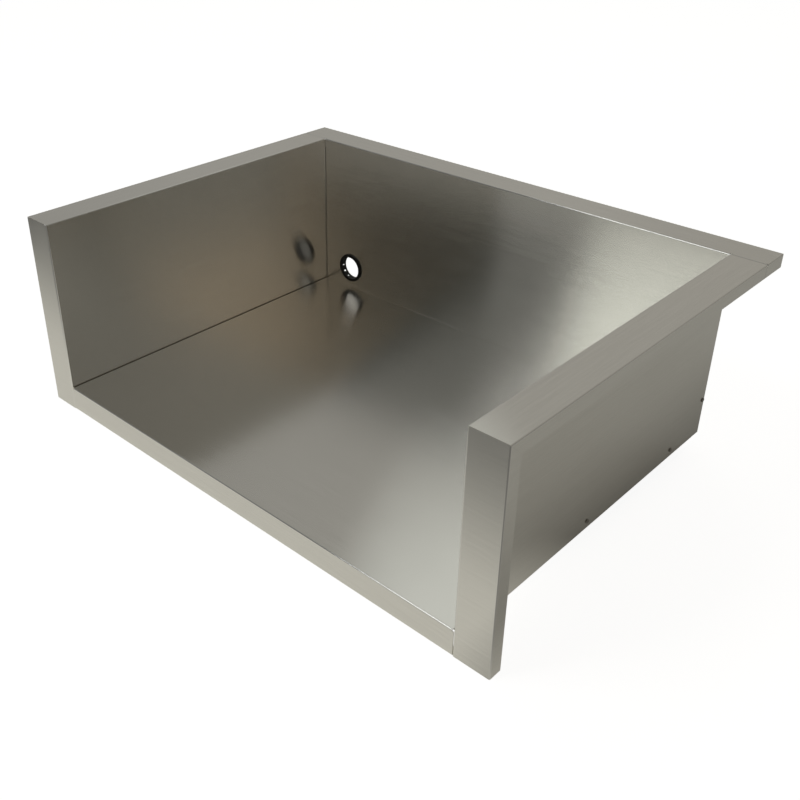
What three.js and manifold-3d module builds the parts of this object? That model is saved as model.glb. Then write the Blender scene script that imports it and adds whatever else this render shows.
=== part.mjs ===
// Built-in grill jacket: a folded stainless-steel liner that hangs in a counter cut-out and takes a
// drop-in gas grill. It is open at the top and at the front.
//
// Millimetres, +X to the right, +Y to the back, +Z up. Inside the functions below, x = 0 is the middle of
// the opening, y = 0 the front face and z = 0 the floor's top face. The exported group moves this so that
// its origin is the bottom centre of the whole part.

import * as THREE from 'three';
import { mergeVertices } from 'three/addons/utils/BufferGeometryUtils.js';
import ManifoldModule from 'manifold-3d';

// Driving dimensions
const OPENING_WIDTH = 762;        // between the two side walls
const OPENING_DEPTH = 571.5;      // from the front face to the back wall
const OPENING_HEIGHT = 273;       // from the floor to the top of the flanges
const SIDE_FLANGE = 52;           // how far the side and front flanges reach out from a side wall
const REAR_FLANGE = 51;           // how far the rear flange reaches back from the back wall
const LIP = 20;                   // return lip along the outer edge of every flange
const FASCIA_HEIGHT = 38.5;       // from the floor down to the bottom of the fascia
const FASCIA_RETURN = 12;         // hem turned back under the fascia
const SKIRT = 16;                 // how far the walls reach below the floor
const REAR_TAB = 9.5;             // how far the side walls reach behind the back wall
const TOE = 12;                   // depth of the side wall where it runs down beside the fascia

const SHEET = 1.2;                // sheet thickness
const BEND_RADIUS = 1.8;          // outer radius of every fold
const BEND_STEPS = 4;             // flats in a fold
const PANEL_GAP = 0.4;            // between neighbouring panels
const SEAM = 0.5;                 // open seam where two flanges or two lips meet
const CORNER_RELIEF = 4;          // flanges stop this far short of a corner that they share
const NOTCH_WIDTH = 2.4;          // bend relief beside each end of the back panel's top fold
const NOTCH_DEPTH = 3;
const CORNER_NOTCH = 2.4;         // small square notch where two folds of one panel meet
const HEM = 6;                    // turned down along the rear flange's front edge, beyond the walls
const PLAIN_EDGE = 16;            // the back wall's side tabs stop this far below the top

const BUSHING_X = -318;           // centre of the gas-line hole
const BUSHING_Z = 38;
const BUSHING_BORE = 21;          // radii
const BUSHING_HOLE = 24;
const BUSHING_FLANGE = 26.5;
const BUSHING_FINGERS = 12;
const BUSHING_SLOT = 2.4;         // slot between two locking fingers
const BUSHING_SIDES = 48;

const SCREW_HOLE = 2.2;           // radii
const SCREW_SHANK = 1.75;
const SCREW_HEAD = 3.2;
const SCREW_HEAD_HEIGHT = 1.6;
const SCREW_LENGTH = 9;
const SCREW_SIDES = 18;
const SEAT_GAP = 0.3;             // under screw heads and under the bushing's flange

const FLOOR_SCREW_Z = -4.6;       // screws through the walls into the floor's flanges
const FLOOR_SCREW_Y = [54, 274, 494];
const REAR_SCREW_X = [-260, 0, 260];
const BACK_SCREW_Z = [42, 230];   // screws through the side walls into the back's tabs
const BACK_SCREW_SETBACK = 4.4;   // from the back wall's inner face to those screws

// Planes that several pieces share
const WALL = OPENING_WIDTH / 2;
const FLANGE_TIP = WALL + SIDE_FLANGE;
const TOP = OPENING_HEIGHT;
const BACK = OPENING_DEPTH;
const REAR = BACK + REAR_FLANGE;
const BACK_SCREW_Y = BACK + BACK_SCREW_SETBACK;
const FAR = 2000;                 // beyond every face of the part

const wasm = await ManifoldModule();
wasm.setup();

const steel = new THREE.MeshStandardMaterial({ color: 0xb5b2a8, roughness: 0.34, metalness: 1 });
const fastenerSteel = new THREE.MeshStandardMaterial({ color: 0x77756e, roughness: 0.42, metalness: 1 });
const nylon = new THREE.MeshStandardMaterial({ color: 0x0b0b0b, roughness: 0.45, metalness: 0 });

const point = (u, v) => new THREE.Vector2(u, v);

// ---------------------------------------------------------------- solids

function toSolid(geometry) {
  const bare = geometry.clone();
  bare.deleteAttribute('normal');
  bare.deleteAttribute('uv');
  const merged = mergeVertices(bare, 1e-4);
  return new wasm.Manifold(new wasm.Mesh({
    numProp: 3,
    vertProperties: new Float32Array(merged.attributes.position.array),
    triVerts: new Uint32Array(merged.index.array),
  }));
}

function toMesh(name, solid, material) {
  const { vertProperties, triVerts } = solid.getMesh();
  const geometry = new THREE.BufferGeometry();
  geometry.setAttribute('position', new THREE.BufferAttribute(vertProperties, 3));
  geometry.setIndex(new THREE.BufferAttribute(triVerts, 1));
  geometry.computeVertexNormals();
  const mesh = new THREE.Mesh(geometry, material);
  mesh.name = name;
  return mesh;
}

// A closed outline swept along one axis. The outline is in (y, z) for x, in (x, z) for y, in (x, y) for z.
function sweep(axis, outline, from, to) {
  const x = new THREE.Vector3(1, 0, 0);
  const y = new THREE.Vector3(0, 1, 0);
  const z = new THREE.Vector3(0, 0, 1);
  const frames = { x: [y, z, x], y: [x, z, y.clone().negate()], z: [x, y, z] };
  const start = axis === 'y' ? to : from;
  const geometry = new THREE.ExtrudeGeometry(new THREE.Shape(outline), {
    depth: to - from,
    bevelEnabled: false,
  });
  geometry.applyMatrix4(new THREE.Matrix4().makeBasis(...frames[axis]));
  const shift = { x: [start, 0, 0], y: [0, start, 0], z: [0, 0, start] };
  geometry.translate(...shift[axis]);
  return toSolid(geometry);
}

function block(low, high) {
  const outline = [point(low[0], low[1]), point(high[0], low[1]), point(high[0], high[1]), point(low[0], high[1])];
  return sweep('z', outline, low[2], high[2]);
}

// A round bar along x or y, used to cut holes.
function bar(axis, centre, radius, halfLength, sides) {
  const geometry = new THREE.CylinderGeometry(radius, radius, 2 * halfLength, sides);
  if (axis === 'x') geometry.rotateZ(Math.PI / 2);
  geometry.translate(...centre);
  return toSolid(geometry);
}

// ---------------------------------------------------------------- folded sheet

// The line at a depth below a sheet's outer face. The face runs along path and turns 90 degrees at each of
// its inner points, always towards the side that the sheet lies on.
function foldLine(path, depth) {
  const headings = path.slice(1).map((p, i) => p.clone().sub(path[i]).normalize());
  const turn = Math.sign(headings[0].cross(headings[1]));
  const inward = headings.map((h) => point(-h.y, h.x).multiplyScalar(turn));
  const line = [path[0].clone().addScaledVector(inward[0], depth)];
  for (let i = 1; i < path.length - 1; i += 1) {
    const centre = path[i].clone()
      .addScaledVector(headings[i - 1], -BEND_RADIUS)
      .addScaledVector(inward[i - 1], BEND_RADIUS);
    const start = inward[i - 1].clone().negate().angle();
    for (let step = 0; step <= BEND_STEPS; step += 1) {
      const angle = start + turn * (step / BEND_STEPS) * (Math.PI / 2);
      const ray = point(Math.cos(angle), Math.sin(angle));
      line.push(centre.clone().addScaledVector(ray, BEND_RADIUS - depth));
    }
  }
  line.push(path[path.length - 1].clone().addScaledVector(inward[inward.length - 1], depth));
  return line;
}

// The folded sheet itself.
function folded(path) {
  return [...foldLine(path, 0), ...foldLine(path, SHEET).reverse()];
}

// Everything behind the sheet's outer face, which trims the neighbouring run to it.
function covered(path) {
  const last = path.length - 1;
  const before = path[0].clone().sub(path[1]).setLength(FAR);
  const after = path[last].clone().sub(path[last - 1]).setLength(FAR);
  const longer = [path[0].clone().add(before), ...path.slice(1, last), path[last].clone().add(after)];
  return foldLine(longer, 0);
}

// A thin slanted slab's outline, from one point to another.
function seamOutline(from, to) {
  const across = to.clone().sub(from).normalize().rotateAround(point(0, 0), Math.PI / 2).multiplyScalar(SEAM / 2);
  return [from.clone().add(across), to.clone().add(across), to.clone().sub(across), from.clone().sub(across)];
}

// The notch at a corner where two folds meet.
function cornerNotch(corner) {
  return block(corner.map((c) => c - CORNER_NOTCH), corner.map((c) => c + CORNER_NOTCH));
}

// ---------------------------------------------------------------- panels

// side is +1 for the right panel and -1 for the left one.
function sidePanel(side) {
  const wall = side * WALL;
  const tip = side * FLANGE_TIP;
  const topPath = [point(wall, -SKIRT), point(wall, TOP), point(tip, TOP), point(tip, TOP - LIP)];
  const frontPath = [point(wall, BACK + REAR_TAB), point(wall, 0), point(tip, 0), point(tip, LIP)];
  const toePath = [point(wall, TOE), point(wall, 0), point(tip, 0), point(tip, LIP)];

  const topRun = sweep('y', folded(topPath), 0, BACK - PANEL_GAP)
    .intersect(sweep('z', covered(frontPath), -FAR, FAR));
  const frontRun = sweep('z', folded(frontPath), -SKIRT, TOP)
    .intersect(sweep('y', covered(topPath), -FAR, FAR));
  const toe = sweep('z', folded(toePath), -FASCIA_HEIGHT, -SKIRT + 1);

  const underRearFlange = block(
    [-FAR, BACK - PANEL_GAP, TOP - SHEET - PANEL_GAP],
    [FAR, FAR, TOP + 1],
  );
  const reach = LIP + 5;
  const seamEnds = [side * (WALL + BEND_RADIUS), side * (FLANGE_TIP + 1)].sort((a, b) => a - b);
  const seam = sweep('x', seamOutline(point(-1, TOP + 1), point(reach, TOP - reach)), ...seamEnds);

  let panel = topRun.add(frontRun).add(toe).subtract(underRearFlange).subtract(seam);
  for (const y of FLOOR_SCREW_Y) {
    panel = panel.subtract(bar('x', [wall, y, FLOOR_SCREW_Z], SCREW_HOLE, 5, SCREW_SIDES));
  }
  for (const z of BACK_SCREW_Z) {
    panel = panel.subtract(bar('x', [wall, BACK_SCREW_Y, z], SCREW_HOLE, 5, SCREW_SIDES));
  }
  return panel;
}

function backPanel() {
  const edge = WALL - PANEL_GAP;
  const wallPath = [point(BACK, -SKIRT), point(BACK, TOP), point(REAR, TOP), point(REAR, TOP - LIP)];
  const hemPath = [point(BACK, TOP - HEM), point(BACK, TOP), point(REAR, TOP), point(REAR, TOP - LIP)];
  const endsPath = [
    point(-FLANGE_TIP, TOP - LIP), point(-FLANGE_TIP, TOP),
    point(FLANGE_TIP, TOP), point(FLANGE_TIP, TOP - LIP),
  ];
  const tabPath = [
    point(-edge, BACK + REAR_TAB), point(-edge, BACK), point(edge, BACK), point(edge, BACK + REAR_TAB),
  ];

  const tabTop = TOP - PLAIN_EDGE;
  const besideTabs = block([-FAR, -FAR, -FAR], [FAR, FAR, tabTop])
    .subtract(sweep('z', covered(tabPath), -FAR - 1, FAR));
  const wallRun = sweep('x', folded(wallPath), -edge, edge).subtract(besideTabs);
  const tabs = sweep('z', folded(tabPath), -SKIRT, tabTop);

  const bendRelief = block([-WALL - NOTCH_WIDTH, -FAR, -FAR], [WALL + NOTCH_WIDTH, BACK + NOTCH_DEPTH, FAR]);
  const rearRun = sweep('x', folded(hemPath), -FLANGE_TIP, FLANGE_TIP)
    .intersect(sweep('y', covered(endsPath), -FAR, FAR));
  const endRun = sweep('y', folded(endsPath), BACK, REAR)
    .intersect(sweep('x', covered(hemPath), -FAR, FAR));
  const flange = rearRun.add(endRun).subtract(bendRelief);

  let panel = wallRun.add(tabs).add(flange);
  for (const side of [-1, 1]) {
    const corner = point(side * (FLANGE_TIP + 1), REAR + 1);
    const inner = point(side * (FLANGE_TIP - LIP), REAR - LIP);
    panel = panel.subtract(sweep('z', seamOutline(corner, inner), TOP - LIP - 1, TOP - BEND_RADIUS));
    panel = panel.subtract(cornerNotch([side * FLANGE_TIP, BACK, TOP]));
    for (const z of BACK_SCREW_Z) {
      panel = panel.subtract(bar('x', [side * edge, BACK_SCREW_Y, z], SCREW_HOLE, 5, SCREW_SIDES));
    }
  }
  for (const x of REAR_SCREW_X) {
    panel = panel.subtract(bar('y', [x, BACK, FLOOR_SCREW_Z], SCREW_HOLE, 5, SCREW_SIDES));
  }
  return panel.subtract(bar('y', [BUSHING_X, BACK, BUSHING_Z], BUSHING_HOLE, 5, BUSHING_SIDES));
}

function floorPanel() {
  const edge = WALL - PANEL_GAP;
  const rear = BACK - PANEL_GAP;
  const acrossPath = [point(-edge, -SKIRT), point(-edge, 0), point(edge, 0), point(edge, -SKIRT)];
  const alongPath = [
    point(rear, -SKIRT), point(rear, 0), point(0, 0),
    point(0, -FASCIA_HEIGHT), point(FASCIA_RETURN, -FASCIA_HEIGHT),
  ];

  const sides = sweep('y', folded(acrossPath), CORNER_RELIEF, rear - CORNER_RELIEF);
  const floor = sweep('x', folded(alongPath), -edge, edge)
    .intersect(sweep('y', covered(acrossPath), -FAR, FAR));

  let panel = floor.add(sides)
    .subtract(cornerNotch([-edge, 0, 0]))
    .subtract(cornerNotch([edge, 0, 0]));
  for (const y of FLOOR_SCREW_Y) {
    panel = panel.subtract(bar('x', [0, y, FLOOR_SCREW_Z], SCREW_HOLE, WALL + 5, SCREW_SIDES));
  }
  for (const x of REAR_SCREW_X) {
    panel = panel.subtract(bar('y', [x, rear, FLOOR_SCREW_Z], SCREW_HOLE, 5, SCREW_SIDES));
  }
  return panel;
}

// ---------------------------------------------------------------- bushing and screws

// Snap bushing about the y axis, its flange towards +y and its seat at y = 0. Slots split the barrel behind
// the wall into locking fingers, each with a barb.
function bushing() {
  const barrel = BUSHING_HOLE - 0.3;
  const barb = BUSHING_HOLE + 1;
  const seat = SEAT_GAP;
  const thickness = 2.6;
  const barbStart = -SHEET - 0.5;
  const barrelEnd = -9.5;
  const profile = [
    point(BUSHING_BORE, barrelEnd),
    point(BUSHING_BORE + 1.6, barrelEnd),
    point(barb, barbStart - 1.6),
    point(barb, barbStart),
    point(barrel, barbStart),
    point(barrel, seat),
    point(BUSHING_FLANGE, seat),
    point(BUSHING_FLANGE, seat + thickness - 1.2),
    point(BUSHING_FLANGE - 0.4, seat + thickness - 0.4),
    point(BUSHING_FLANGE - 1.2, seat + thickness),
    point(BUSHING_BORE + 0.8, seat + thickness),
    point(BUSHING_BORE, seat + thickness - 0.8),
    point(BUSHING_BORE, barrelEnd),
  ];
  let ring = toSolid(new THREE.LatheGeometry(profile, BUSHING_SIDES));
  for (let i = 0; i < BUSHING_FINGERS; i += 1) {
    const slotEnd = barbStart + 0.4;
    const slot = new THREE.BoxGeometry(2 * SIDE_FLANGE, FAR, BUSHING_SLOT);
    slot.translate(SIDE_FLANGE, slotEnd - FAR / 2, 0);
    slot.rotateY(((i + 0.5) / BUSHING_FINGERS) * 2 * Math.PI);
    ring = ring.subtract(toSolid(slot));
  }
  return ring;
}

// Pan-head screw along the y axis, its head towards +y and its seat at y = 0.
function screw() {
  const rim = 0.5;
  const headSteps = 3;
  const profile = [
    point(0, -SCREW_LENGTH),
    point(SCREW_SHANK, -SCREW_LENGTH + 2.5),
    point(SCREW_SHANK, 0),
    point(SCREW_HEAD, 0),
    point(SCREW_HEAD, rim),
  ];
  for (let step = 1; step <= headSteps; step += 1) {
    const angle = (step / headSteps) * (Math.PI / 2);
    const height = rim + (SCREW_HEAD_HEIGHT - rim) * Math.sin(angle);
    profile.push(point(step === headSteps ? 0 : SCREW_HEAD * Math.cos(angle), height));
  }
  return toSolid(new THREE.LatheGeometry(profile, SCREW_SIDES));
}

function screwMesh(name, position, turnZ) {
  const mesh = toMesh(name, screw(), fastenerSteel);
  mesh.position.set(...position);
  mesh.rotation.z = turnZ;
  return mesh;
}

// Screws through one side wall: turned so that the heads face outwards.
function sideScrews(prefix, side) {
  const x = side * (WALL + SHEET + SEAT_GAP);
  const turn = -side * (Math.PI / 2);
  const floorScrews = FLOOR_SCREW_Y.map((y, i) => (
    screwMesh(`${prefix}_floor_screw_${i + 1}`, [x, y, FLOOR_SCREW_Z], turn)
  ));
  const backScrews = BACK_SCREW_Z.map((z, i) => (
    screwMesh(`${prefix}_back_screw_${i + 1}`, [x, BACK_SCREW_Y, z], turn)
  ));
  return [...floorScrews, ...backScrews];
}

function rearScrews() {
  const y = BACK + SHEET + SEAT_GAP;
  return REAR_SCREW_X.map((x, i) => screwMesh(`rear_floor_screw_${i + 1}`, [x, y, FLOOR_SCREW_Z], 0));
}

function bushingMesh() {
  const mesh = toMesh('gas_line_bushing', bushing(), nylon);
  mesh.position.set(BUSHING_X, BACK, BUSHING_Z);
  mesh.rotation.x = Math.PI;
  return mesh;
}

// ---------------------------------------------------------------- assembly

const jacket = new THREE.Group();
jacket.add(
  toMesh('left_side_panel', sidePanel(-1), steel),
  toMesh('right_side_panel', sidePanel(1), steel),
  toMesh('back_panel', backPanel(), steel),
  toMesh('floor_panel', floorPanel(), steel),
  bushingMesh(),
  ...sideScrews('left', -1),
  ...sideScrews('right', 1),
  ...rearScrews(),
);
jacket.position.set(0, -REAR / 2, FASCIA_HEIGHT);

export default jacket;
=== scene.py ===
"""Looks for the built-in grill jacket: brushed stainless panels, a nylon gas-line bushing and screws."""

import math

import bmesh
import bpy
from mathutils import Matrix, Vector


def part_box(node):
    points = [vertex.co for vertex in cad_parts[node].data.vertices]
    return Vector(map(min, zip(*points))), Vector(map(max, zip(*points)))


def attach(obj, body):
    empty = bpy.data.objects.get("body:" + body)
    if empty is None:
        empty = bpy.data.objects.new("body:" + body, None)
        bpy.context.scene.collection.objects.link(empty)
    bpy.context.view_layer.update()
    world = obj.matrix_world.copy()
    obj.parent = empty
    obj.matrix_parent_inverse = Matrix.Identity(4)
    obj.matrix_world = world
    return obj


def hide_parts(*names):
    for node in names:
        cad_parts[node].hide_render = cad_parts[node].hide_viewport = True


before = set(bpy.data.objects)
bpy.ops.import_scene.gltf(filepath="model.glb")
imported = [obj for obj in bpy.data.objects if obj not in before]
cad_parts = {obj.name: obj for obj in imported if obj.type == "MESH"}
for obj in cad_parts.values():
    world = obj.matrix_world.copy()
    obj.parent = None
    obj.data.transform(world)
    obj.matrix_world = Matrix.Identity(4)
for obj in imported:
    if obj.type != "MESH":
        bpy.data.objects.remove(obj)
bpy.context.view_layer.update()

MM = 0.001
SHEET = 1.2 * MM

# Finish of the sheet
EDGE_ROUND = 0.16 * MM          # deburred edge of the cut sheet
FOLD_ANGLE = math.radians(35)   # flatter than this is part of a fold, sharper is a cut edge
FLAT = 0.999                    # a flat face's normal is this close to an axis


# ---------------------------------------------------------------- small helpers

def new_object(name, mesh):
    obj = bpy.data.objects.new(name, mesh)
    bpy.context.scene.collection.objects.link(obj)
    return obj


def finish_piece(obj, slot, *nodes):
    """Rides on the jacket and stands for its CAD nodes. The slot argument is not used."""
    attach(obj, "root")
    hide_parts(*nodes)
    return obj


def mesh_from(name, bm):
    mesh = bpy.data.meshes.new(name)
    bmesh.ops.recalc_face_normals(bm, faces=bm.faces)
    bm.to_mesh(mesh)
    bm.free()
    return mesh


# ---------------------------------------------------------------- node helpers

class Nodes:
    """Short calls for building one material's nodes."""

    def __init__(self, name):
        self.material = bpy.data.materials.new(name)
        self.material.use_nodes = True
        self.tree = self.material.node_tree
        self.tree.nodes.clear()
        self.output = self.add("ShaderNodeOutputMaterial")
        self.shader = self.add("ShaderNodeBsdfPrincipled")
        self.link(self.shader.outputs["BSDF"], self.output.inputs["Surface"])

    def add(self, kind, **settings):
        node = self.tree.nodes.new(kind)
        for key, value in settings.items():
            setattr(node, key, value)
        return node

    def link(self, source, target):
        self.tree.links.new(source, target)

    def set(self, **values):
        for key, value in values.items():
            self.shader.inputs[key.replace("_", " ")].default_value = value

    def scaled(self, source, scale):
        node = self.add("ShaderNodeMapping")
        node.inputs["Scale"].default_value = scale
        self.link(source, node.inputs["Vector"])
        return node.outputs["Vector"]

    def noise(self, vector, scale, detail=2.0, roughness=0.5):
        node = self.add("ShaderNodeTexNoise")
        node.inputs["Scale"].default_value = scale
        node.inputs["Detail"].default_value = detail
        node.inputs["Roughness"].default_value = roughness
        self.link(vector, node.inputs["Vector"])
        return node.outputs["Fac"]

    def remap(self, value, low, high, to_low, to_high):
        node = self.add("ShaderNodeMapRange")
        for key, number in zip(("From Min", "From Max", "To Min", "To Max"), (low, high, to_low, to_high)):
            node.inputs[key].default_value = number
        self.link(value, node.inputs["Value"])
        return node.outputs["Result"]

    def blend(self, factor, first, second):
        node = self.add("ShaderNodeMix", data_type="RGBA")
        self.link(factor, node.inputs["Factor"])
        for socket, value in zip((node.inputs[6], node.inputs[7]), (first, second)):
            if isinstance(value, bpy.types.NodeSocket):
                self.link(value, socket)
            else:
                socket.default_value = (*value, 1)
        return node.outputs[2]

    def math(self, operation, *values):
        node = self.add("ShaderNodeMath", operation=operation)
        for socket, value in zip(node.inputs, values):
            if isinstance(value, bpy.types.NodeSocket):
                self.link(value, socket)
            else:
                socket.default_value = value
        return node.outputs["Value"]

    def bump(self, height, strength, distance, normal=None):
        node = self.add("ShaderNodeBump")
        node.inputs["Strength"].default_value = strength
        node.inputs["Distance"].default_value = distance
        self.link(height, node.inputs["Height"])
        if normal is not None:
            self.link(normal, node.inputs["Normal"])
        return node.outputs["Normal"]


# ---------------------------------------------------------------- materials

GRAIN_MAP = "grain"     # u runs across the brushing, v along it, both in metres


def brushed_steel(name, light, dark, roughness, anisotropy):
    """Satin sheet: hair-fine lines along v, faint smears, and reflections that blur across the lines."""
    n = Nodes(name)
    uv = n.add("ShaderNodeUVMap", uv_map=GRAIN_MAP).outputs["UV"]
    place = n.add("ShaderNodeTexCoord").outputs["Object"]

    hair = n.noise(n.scaled(uv, (1, 0.012, 1)), 2600, 3, 0.7)
    band = n.noise(n.scaled(uv, (1, 0.03, 1)), 260, 3, 0.6)
    smear = n.noise(place, 5.5, 3, 0.55)
    wave = n.noise(place, 3.2, 1, 0.4)

    tone = n.math("ADD", n.math("MULTIPLY", hair, 0.55), n.math("MULTIPLY", band, 0.45))
    n.link(n.blend(n.remap(tone, 0.34, 0.66, 0, 1), dark, light), n.shader.inputs["Base Color"])

    grainy = n.remap(tone, 0.3, 0.7, roughness - 0.03, roughness + 0.03)
    smeared = n.remap(smear, 0.3, 0.7, -0.012, 0.012)
    n.link(n.math("ADD", grainy, smeared), n.shader.inputs["Roughness"])

    warped = n.bump(wave, 0.08, 0.01)
    n.link(n.bump(hair, 0.02, 0.0001, warped), n.shader.inputs["Normal"])

    tangent = n.add("ShaderNodeTangent", direction_type="UV_MAP", uv_map=GRAIN_MAP)
    n.link(tangent.outputs["Tangent"], n.shader.inputs["Tangent"])
    n.set(Metallic=1.0, Anisotropic=anisotropy)
    return n.material


def fastener_steel():
    n = Nodes("fastener_steel")
    place = n.add("ShaderNodeTexCoord").outputs["Object"]
    turned = n.noise(place, 900, 2)
    n.link(n.blend(turned, (0.30, 0.29, 0.27), (0.52, 0.50, 0.47)), n.shader.inputs["Base Color"])
    n.link(n.remap(turned, 0.3, 0.7, 0.28, 0.40), n.shader.inputs["Roughness"])
    n.link(n.bump(turned, 0.15, 0.0001), n.shader.inputs["Normal"])
    n.set(Metallic=1.0)
    return n.material


def black_nylon():
    n = Nodes("black_nylon")
    place = n.add("ShaderNodeTexCoord").outputs["Object"]
    grain = n.noise(place, 2200, 3, 0.6)
    flow = n.noise(place, 60, 2)
    n.link(n.blend(flow, (0.006, 0.006, 0.006), (0.012, 0.012, 0.012)), n.shader.inputs["Base Color"])
    n.link(n.remap(grain, 0.3, 0.7, 0.42, 0.56), n.shader.inputs["Roughness"])
    n.link(n.bump(grain, 0.2, 0.0001), n.shader.inputs["Normal"])
    return n.material


SHEET_STEEL = brushed_steel("sheet_steel", (0.895, 0.885, 0.85), (0.80, 0.79, 0.755), 0.18, 0.95)
# Folds: a brighter colour that paints a highlight along every fold, and a lower roughness.
FOLD_HIGHLIGHT_STEEL = brushed_steel("fold_painted_highlight", (0.93, 0.925, 0.90), (0.88, 0.875, 0.85), 0.11, 0.8)
# Floor seams: a dark colour that paints the shade down in the floor panel's side folds.
SEAM_SHADE_STEEL = brushed_steel("seam_painted_shade", (0.34, 0.31, 0.265), (0.24, 0.215, 0.18), 0.36, 0.4)
EDGE_STEEL = brushed_steel("deburred_edge", (0.66, 0.64, 0.61), (0.56, 0.54, 0.51), 0.30, 0.2)
FASTENER_STEEL = fastener_steel()
BLACK_NYLON = black_nylon()


# ---------------------------------------------------------------- panels

def grain_uv(position, normal, flat_grain):
    """Metres across and along the brushing. Upright faces are brushed level, flat ones along flat_grain."""
    x, y, z = position
    facing = max(range(3), key=lambda axis: abs(normal[axis]))
    if facing == 0:
        return z, y
    if facing == 1:
        return z, x
    return (x, y) if flat_grain == "y" else (y, x)


def finish_of(node, normal):
    """Flat faces are sheet, folds get a brighter colour as a painted highlight, and the floor's side folds, down
    in the seams, get a dark colour as painted shade.
    """
    if max(map(abs, normal)) > FLAT:
        return 0
    return 3 if node == "floor_panel" and abs(normal.x) > 1 - FLAT else 1


def panel(node, flat_grain):
    """The CAD panel with its flat faces merged, its cut edges rounded and a map of its brushing."""
    bm = bmesh.new()
    bm.from_mesh(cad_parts[node].data)
    bmesh.ops.remove_doubles(bm, verts=bm.verts, dist=0.001 * MM)
    bmesh.ops.dissolve_limit(bm, angle_limit=math.radians(1), verts=bm.verts, edges=bm.edges)
    for edge in bm.edges:
        edge.smooth = edge.calc_face_angle(0) < FOLD_ANGLE
    layer = bm.loops.layers.uv.new(GRAIN_MAP)
    for face in bm.faces:
        face.smooth = True
        face.material_index = finish_of(node, face.normal)
        for loop in face.loops:
            loop[layer].uv = grain_uv(loop.vert.co, face.normal, flat_grain)
    piece = new_object(f"{node}_sheet", mesh_from(f"{node}_sheet", bm))
    for finish in (SHEET_STEEL, FOLD_HIGHLIGHT_STEEL, EDGE_STEEL, SEAM_SHADE_STEEL):
        piece.data.materials.append(finish)

    rounded = piece.modifiers.new("deburred edges", "BEVEL")
    rounded.width = EDGE_ROUND
    rounded.segments = 2
    rounded.limit_method = "ANGLE"
    rounded.angle_limit = FOLD_ANGLE
    rounded.material = 2
    rounded.harden_normals = False
    weighted = piece.modifiers.new("flat shading", "WEIGHTED_NORMAL")
    weighted.keep_sharp = True
    weighted.weight = 100
    return finish_piece(piece, "sheet_steel", node)


PANELS = {
    "left_side_panel": "y",
    "right_side_panel": "y",
    "back_panel": "x",
    "floor_panel": "x",
}
for panel_node, grain in PANELS.items():
    panel(panel_node, grain)

# ---------------------------------------------------------------- bushing

BUSHING_SIDES = 96              # a whole number of sides to each finger and slot
FINGERS = 12
SLOT_SIDES = 2                  # of the 8 sides that a finger and its slot take
FLANGE_DEPTH = 2.9 * MM         # the flange's front stands this far off the wall
BORE_STEP = 5.5 * MM            # from the flange's edge in to the bore
TIP_RING = 2.6 * MM             # the fingers are joined over this much at their tips


def flange_profile(bore, rim, front, slot_end, barrel):
    """(radius, height) round the flange, from the bore at the slots' end to the barrel at the same height."""
    corner = 1.2 * MM
    points = [(bore, slot_end), (bore, front - 0.9 * MM)]
    for step in range(1, 5):
        angle = step / 4 * math.pi / 2
        points.append((bore + 0.9 * MM * (1 - math.cos(angle)), front - 0.9 * MM * (1 - math.sin(angle))))
    for step in range(5):
        angle = step / 4 * math.pi / 2
        points.append((rim - corner * (1 - math.sin(angle)), front - corner * (1 - math.cos(angle))))
    return points + [(rim, 0.3 * MM), (barrel, 0.3 * MM), (barrel, slot_end)]


def finger_profile(barb, slot_end, barrel):
    """(radius, height) down the outside of one finger, from the flange's back to the end of its barb."""
    return [
        (barrel, slot_end - 0.3 * MM),
        (barb - 0.2 * MM, slot_end - 0.4 * MM),
        (barb, slot_end - 0.6 * MM),
        (barb, slot_end - 1.8 * MM),
    ]


def tip_profile(bore, barb, slot_end, tip):
    """(radius, height) round the ring that joins the fingers at their tips."""
    top = tip + TIP_RING
    cone_start, cone_end = slot_end - 1.8 * MM, tip + 0.2 * MM
    taper = (cone_start - top) / (cone_start - cone_end)
    return [
        (barb + (bore + 1.8 * MM - barb) * taper, top),
        (bore + 1.8 * MM, cone_end),
        (bore + 1.5 * MM, tip),
        (bore + 0.3 * MM, tip),
        (bore, tip + 0.3 * MM),
        (bore, top),
    ]


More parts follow.
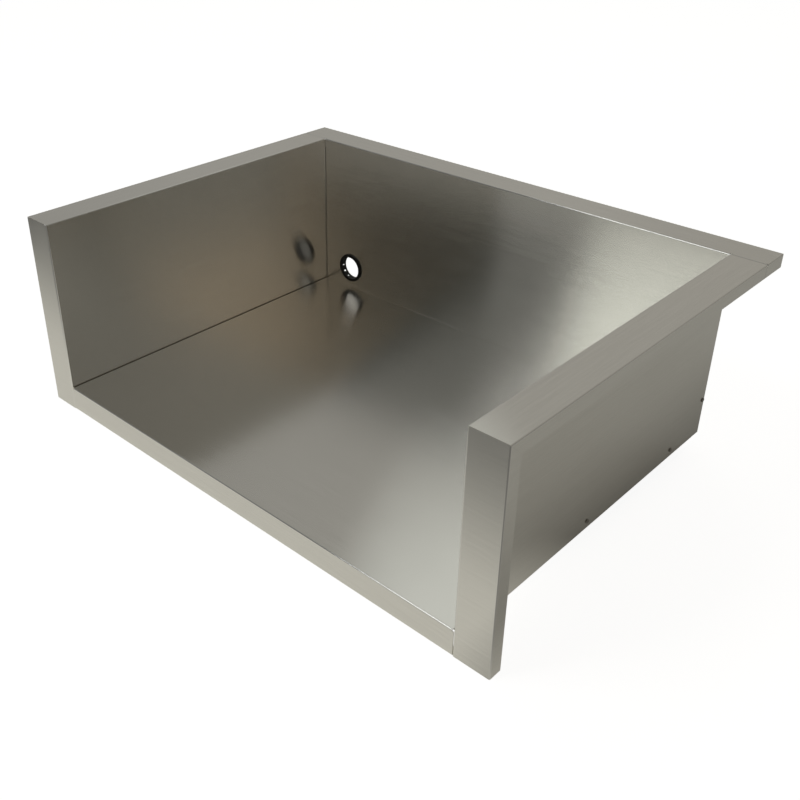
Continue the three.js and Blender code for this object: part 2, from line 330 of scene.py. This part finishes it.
def bushing():
    """A snap bushing: a rounded flange in front of the wall and, behind it, a ring of barbed fingers."""
    low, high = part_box("gas_line_bushing")
    rim = (high.x - low.x) / 2
    bore = rim - BORE_STEP
    barrel = bore + 2.7 * MM
    slot_end = -SHEET - 0.1 * MM
    tip = low.y + FLANGE_DEPTH - high.y
    barb = barrel + 1.3 * MM
    profiles = (
        flange_profile(bore, rim, FLANGE_DEPTH, slot_end, barrel),
        finger_profile(barb, slot_end, barrel),
        tip_profile(bore, barb, slot_end, tip),
    )

    bm = bmesh.new()

    def ring(profile, side):
        angle = 2 * math.pi * side / BUSHING_SIDES
        return [bm.verts.new((r * math.cos(angle), r * math.sin(angle), z)) for r, z in profile]

    def skin(here, there):
        for i in range(len(here)):
            j = (i + 1) % len(here)
            bm.faces.new((here[i], there[i], there[j], here[j]))

    period = BUSHING_SIDES // FINGERS
    is_slot = [side % period < SLOT_SIDES for side in range(BUSHING_SIDES)]
    flanges, fingers, tips = ([ring(profile, side) for side in range(BUSHING_SIDES)] for profile in profiles)
    for side in range(BUSHING_SIDES):
        after = (side + 1) % BUSHING_SIDES
        if is_slot[side]:
            skin(flanges[side], flanges[after])
            skin(tips[side], tips[after])
        else:
            skin(flanges[side] + fingers[side] + tips[side], flanges[after] + fingers[after] + tips[after])
        if is_slot[side] != is_slot[side - 1]:
            bm.faces.new([flanges[side][-1], *fingers[side], tips[side][0], tips[side][-1], flanges[side][0]])
    bmesh.ops.delete(bm, geom=[vert for vert in bm.verts if not vert.link_faces], context="VERTS")

    for face in bm.faces:
        face.smooth = True
    for edge in bm.edges:
        edge.smooth = edge.calc_face_angle(0) < FOLD_ANGLE
    piece = new_object("gas_line_bushing_moulding", mesh_from("gas_line_bushing_moulding", bm))
    piece.data.materials.append(BLACK_NYLON)
    piece.rotation_euler.x = math.pi / 2
    piece.location = ((low.x + high.x) / 2, low.y + FLANGE_DEPTH, (low.z + high.z) / 2)
    rounded = piece.modifiers.new("moulded edges", "BEVEL")
    rounded.width = 0.12 * MM
    rounded.segments = 2
    rounded.limit_method = "ANGLE"
    rounded.angle_limit = FOLD_ANGLE
    return finish_piece(piece, "nylon", "gas_line_bushing")


bushing()


# ---------------------------------------------------------------- screws

HEAD_HEIGHT = 1.6 * MM
HEAD_SIDES = 40
CORE_RADIUS = 1.45 * MM
CREST_RADIUS = 2.0 * MM
PITCH = 1.3 * MM
THREAD_STEPS = 18               # to a turn


def lathe(bm, profile, sides):
    """A closed solid of revolution about z. The profile starts and ends on the axis."""
    ends = [bm.verts.new((0, 0, z)) for _, z in (profile[0], profile[-1])]
    rings = []
    for r, z in profile[1:-1]:
        angles = (2 * math.pi * side / sides for side in range(sides))
        rings.append([bm.verts.new((r * math.cos(a), r * math.sin(a), z)) for a in angles])
    for side in range(sides):
        after = (side + 1) % sides
        bm.faces.new((ends[0], rings[0][after], rings[0][side]))
        bm.faces.new((ends[1], rings[-1][side], rings[-1][after]))
        for inner, outer in zip(rings, rings[1:]):
            bm.faces.new((inner[side], inner[after], outer[after], outer[side]))


def thread(bm, start, turns):
    """A helical ridge from start downwards, fading into the core at both ends."""
    sections = []
    steps = int(turns * THREAD_STEPS)
    for step in range(steps + 1):
        angle = 2 * math.pi * step / THREAD_STEPS
        z = start - PITCH * step / THREAD_STEPS
        fade = min(1, step / THREAD_STEPS * 2, (steps - step) / THREAD_STEPS)
        crest = CORE_RADIUS + (CREST_RADIUS - CORE_RADIUS) * fade
        corners = ((CORE_RADIUS * 0.9, 0.32), (crest, 0), (CORE_RADIUS * 0.9, -0.32))
        sections.append([
            bm.verts.new((r * math.cos(angle), r * math.sin(angle), z + lift * PITCH)) for r, lift in corners
        ])
    for here, there in zip(sections, sections[1:]):
        for i in range(3):
            bm.faces.new((here[i], there[i], there[(i + 1) % 3], here[(i + 1) % 3]))
    bm.faces.new(sections[0])
    bm.faces.new(sections[-1])


def cross_cutter():
    """A tapered cross, wide at the top, that cuts the driver recess."""
    bm = bmesh.new()
    for turn in (0, math.pi / 2):
        corners = []
        for z, length, width in ((HEAD_HEIGHT + 0.5 * MM, 1.9 * MM, 0.42 * MM), (0.35 * MM, 0.75 * MM, 0.2 * MM)):
            for sx, sy in ((1, 1), (-1, 1), (-1, -1), (1, -1)):
                corners.append(Matrix.Rotation(turn, 3, "Z") @ Vector((sx * length, sy * width, z)))
        v = [bm.verts.new(corner) for corner in corners]
        bm.faces.new(v[0:4])
        bm.faces.new(v[7:3:-1])
        for i in range(4):
            j = (i + 1) % 4
            bm.faces.new((v[i], v[i + 4], v[j + 4], v[j]))
    return mesh_from("cross_cutter", bm)


def screw_mesh(length):
    """A pan-head screw, its seat at z = 0 and its head up."""
    shoulder = CORE_RADIUS + 0.25 * MM
    radius = 3.2 * MM
    profile = [(0, -length), (0.35 * MM, -length + 0.35 * MM), (CORE_RADIUS, -length + 2.4 * MM)]
    profile += [(CORE_RADIUS, -1.6 * MM), (shoulder, -1.3 * MM), (shoulder, 0), (radius - 0.15 * MM, 0)]
    profile += [(radius, 0.15 * MM), (radius, 0.45 * MM)]
    for step in range(1, 8):
        angle = step / 8 * math.pi / 2
        rise = 0.45 * MM + (HEAD_HEIGHT - 0.45 * MM) * math.sin(angle) ** 0.8
        profile.append((radius * math.cos(angle) ** 0.7, rise))
    profile.append((0, HEAD_HEIGHT))
    bm = bmesh.new()
    lathe(bm, profile, HEAD_SIDES)
    blank = new_object("screw_blank", mesh_from("screw_blank", bm))
    cutter = new_object("cross_cutter", cross_cutter())
    carve = blank.modifiers.new("driver recess", "BOOLEAN")
    carve.operation = "DIFFERENCE"
    carve.solver = "EXACT"
    carve.use_self = True
    carve.object = cutter
    depsgraph = bpy.context.evaluated_depsgraph_get()
    carved = bpy.data.meshes.new_from_object(blank.evaluated_get(depsgraph))
    bpy.data.objects.remove(blank)
    bpy.data.objects.remove(cutter)

    bm = bmesh.new()
    bm.from_mesh(carved)
    thread(bm, -1.7 * MM, (length - 3.2 * MM) / PITCH)
    for face in bm.faces:
        face.smooth = True
    for edge in bm.edges:
        edge.smooth = edge.calc_face_angle(0) < FOLD_ANGLE
    mesh = mesh_from("screw", bm)
    mesh.materials.clear()
    mesh.materials.append(FASTENER_STEEL)
    return mesh


def outward(node):
    """Which way a screw's head faces, as a unit vector, and its seat."""
    low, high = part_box(node)
    centre = (low + high) / 2
    axis = max(range(3), key=lambda i: high[i] - low[i])
    sign = 1 if centre[axis] > 0 else -1
    facing = Vector((0, 0, 0))
    facing[axis] = sign
    seat = centre.copy()
    seat[axis] = (high if sign > 0 else low)[axis] - sign * HEAD_HEIGHT
    return facing, seat


def screws():
    nodes = sorted(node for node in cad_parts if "screw" in node)
    low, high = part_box(nodes[0])
    mesh = screw_mesh(max(high - low) - HEAD_HEIGHT)
    for count, node in enumerate(nodes):
        facing, seat = outward(node)
        piece = new_object(f"{node}_pan_head", mesh)
        turn = Matrix.Rotation(count * 1.9, 3, facing)
        piece.rotation_euler = (turn @ facing.to_track_quat("Z", "Y").to_matrix()).to_euler()
        piece.location = seat
        finish_piece(piece, "screw_steel", node)


screws()


# ---------------------------------------------------------------- studio

LIGHT_DISTANCE = 4.0            # metres from the jacket to each soft box
# Tint of the painted pools of light that glow on the floor in reflections.
POOL_LIGHT_TINT = (1, 0.975, 0.87)
PAINTED_LIGHT_POOLS = [                       # centre, half size, fading margin and strength of each painted pool of light on the floor
    ((-0.31, -0.36, 0), (0.68, 0.06, 1), (0.12, 0.27, 1), 0.42),    # the part that the open front faces
    ((1.05, 0.75, 0), (0.55, 0.80, 1), (0.15, 0.60, 1), 0.17),      # the part beside the right wall
]


def soft_box(name, azimuth, elevation, radiance, tint=(1, 1, 1)):
    """A rectangular soft light that fills these two spans of degrees, azimuth from +X towards +Y."""
    turn, rise = (math.radians(sum(span) / 2) for span in (azimuth, elevation))
    width, height = (2 * LIGHT_DISTANCE * math.tan(math.radians(b - a) / 2) for a, b in (azimuth, elevation))
    place = LIGHT_DISTANCE * Vector((
        math.cos(turn) * math.cos(rise), math.sin(turn) * math.cos(rise), math.sin(rise)
    ))
    data = bpy.data.lights.new(name, "AREA")
    data.shape = "RECTANGLE"
    data.size = width * math.cos(rise)
    data.size_y = height
    data.energy = radiance * math.pi * data.size * data.size_y
    data.color = tint
    light = new_object(name, data)
    light.location = place
    light.rotation_euler = (-place).to_track_quat("-Z", "Y").to_euler()
    return light


def room(light_from, background):
    """Dim soft light from all round, stronger from some sides, behind a plain pale background."""
    world = bpy.data.worlds.new("studio")
    world.use_nodes = True
    tree = world.node_tree
    nodes, link = tree.nodes, tree.links.new
    nodes.clear()
    facing = nodes.new("ShaderNodeTexCoord").outputs["Generated"]
    total = None
    for side, tint in light_from:
        along = nodes.new("ShaderNodeVectorMath")
        along.operation = "DOT_PRODUCT"
        along.inputs[1].default_value = side
        link(facing, along.inputs[0])
        clipped = nodes.new("ShaderNodeMath")
        clipped.operation = "MAXIMUM"
        clipped.inputs[1].default_value = 0
        link(along.outputs["Value"], clipped.inputs[0])
        glow = nodes.new("ShaderNodeVectorMath")
        glow.operation = "SCALE"
        glow.inputs[0].default_value = tint
        link(clipped.outputs["Value"], glow.inputs["Scale"])
        if total is None:
            total = glow.outputs["Vector"]
        else:
            both = nodes.new("ShaderNodeVectorMath")
            link(total, both.inputs[0])
            link(glow.outputs["Vector"], both.inputs[1])
            total = both.outputs["Vector"]
    seen = nodes.new("ShaderNodeMix")
    seen.data_type = "RGBA"
    link(nodes.new("ShaderNodeLightPath").outputs["Is Camera Ray"], seen.inputs["Factor"])
    link(total, seen.inputs[6])
    seen.inputs[7].default_value = (*background, 1)
    sky = nodes.new("ShaderNodeBackground")
    link(seen.outputs[2], sky.inputs["Color"])
    link(sky.outputs["Background"], nodes.new("ShaderNodeOutputWorld").inputs["Surface"])
    bpy.context.scene.world = world


def painted_light_pool(n, place, centre, half, fade, strength):
    """A soft-edged rectangle of painted light, as a glow strength."""
    away = place
    for operation, vector in (
        ("SUBTRACT", centre), ("ABSOLUTE", None), ("SUBTRACT", half),
        ("MAXIMUM", (0, 0, 0)), ("DIVIDE", fade), ("LENGTH", None),
    ):
        step = n.add("ShaderNodeVectorMath", operation=operation)
        n.link(away, step.inputs[0])
        if vector is not None:
            step.inputs[1].default_value = vector
        away = step.outputs["Value" if operation == "LENGTH" else "Vector"]
    return n.remap(away, 0, 1, strength, 0)


def floor(pale, seen_glow):
    """A pale floor that glows evenly for the camera, with glowing patches of painted light that only reflections
    see.
    """
    n = Nodes("floor")
    place = n.add("ShaderNodeTexCoord").outputs["Object"]
    first, second = (painted_light_pool(n, place, *glow) for glow in PAINTED_LIGHT_POOLS)
    seen = n.add("ShaderNodeLightPath").outputs["Is Camera Ray"]
    n.link(n.blend(seen, POOL_LIGHT_TINT, (1, 1, 1)), n.shader.inputs["Emission Color"])
    strength = n.add("ShaderNodeMix", data_type="FLOAT")
    n.link(seen, strength.inputs["Factor"])
    n.link(n.math("ADD", first, second), strength.inputs[2])
    strength.inputs[3].default_value = seen_glow
    n.link(strength.outputs[0], n.shader.inputs["Emission Strength"])
    n.set(Base_Color=(*pale, 1), Roughness=0.9)
    bm = bmesh.new()
    bmesh.ops.create_grid(bm, x_segments=1, y_segments=1, size=12)
    ground = new_object("floor", mesh_from("floor", bm))
    ground.data.materials.append(n.material)
    return ground


floor(pale=(0.5, 0.5, 0.5), seen_glow=0.90)
room(
    light_from=[
        ((0, 1, 0), (0.285, 0.27, 0.24)),
        ((-1, 0, 0), (0.20, 0.20, 0.195)),
        ((0, 0, 1), (0.09, 0.09, 0.08)),
    ],
    background=(0.98, 0.98, 0.98),
)
soft_box("key", (240, 256), (20, 42), 1.02, (0.97, 1, 0.93))
soft_box("fill", (315, 345), (16, 55), 0.36, (1, 0.81, 0.60))
soft_box("top", (116, 135), (41, 59), 0.44, (0.95, 1, 0.96))
soft_box("rim", (221, 256), (48, 60), 2.5)


# ---------------------------------------------------------------- camera

def camera():
    data = bpy.data.cameras.new("camera")
    data.lens = 44.583
    data.sensor_width = 36
    data.shift_x = 0.0695
    data.shift_y = -0.0523
    data.clip_start = 0.01
    data.clip_end = 100
    view = new_object("camera", data)
    view.location = (0.85657, -0.97725, 0.84447)
    view.rotation_euler = [math.radians(angle) for angle in (60.554, 0.3115, 43.767)]
    bpy.context.scene.camera = view
    return view


camera()
bpy.context.scene.view_settings.view_transform = "Standard"
